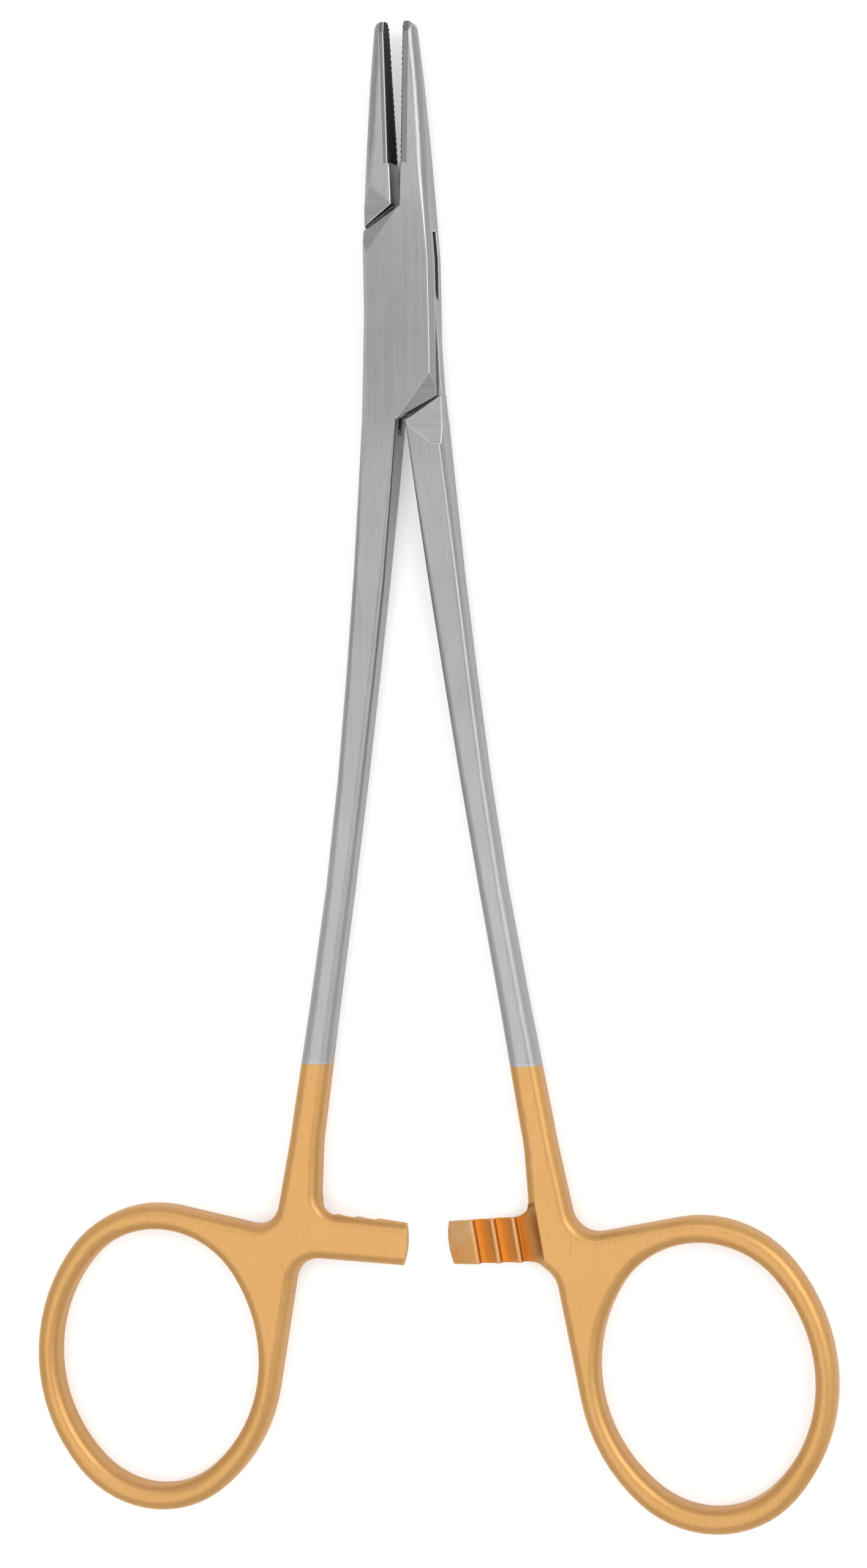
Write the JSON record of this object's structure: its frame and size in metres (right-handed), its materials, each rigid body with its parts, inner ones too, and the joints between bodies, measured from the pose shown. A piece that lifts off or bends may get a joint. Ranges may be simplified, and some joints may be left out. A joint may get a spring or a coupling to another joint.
{
  "type": "surgical needle holder",
  "caption": "Straight box-lock needle holder with slim jaws, cross-hatched carbide jaw faces, long tapered shanks, oval gold-plated ring handles and a ratchet.",
  "frame": {"origin": "on the pivot axis, at the back face of the box lock, which rests on the table", "axes": "+Y along the instrument towards the jaw tips, +X to the right seen from the front, +Z out of the front face"},
  "size_m": [0.0822, 0.1483, 0.0042],
  "materials": {
    "box_half_steel": "satin stainless steel brushed lengthways, the handle from the lower shank down plated in satin gold",
    "tenon_half_steel": "satin stainless steel brushed lengthways, the handle from the lower shank down plated in satin gold",
    "carbide": "ground tungsten carbide, darker than the steel around it",
    "pin_steel": "stainless steel, riveted and ground flush with the lock"
  },
  "bodies": {
    "box_half": {"box_half": "box_half_steel", "box_insert": "carbide", "pivot_pin": "pin_steel"},
    "tenon_half": {"tenon_half": "tenon_half_steel", "tenon_insert": "carbide"}
  },
  "joints": [
    {"name": "box_lock", "type": "hinge", "parent": "box_half", "child": "tenon_half", "pos_m": [0, 0, 0.0021], "axis": [0, 0, 1], "range_deg": [-3.5, 76.5]}
  ]
}
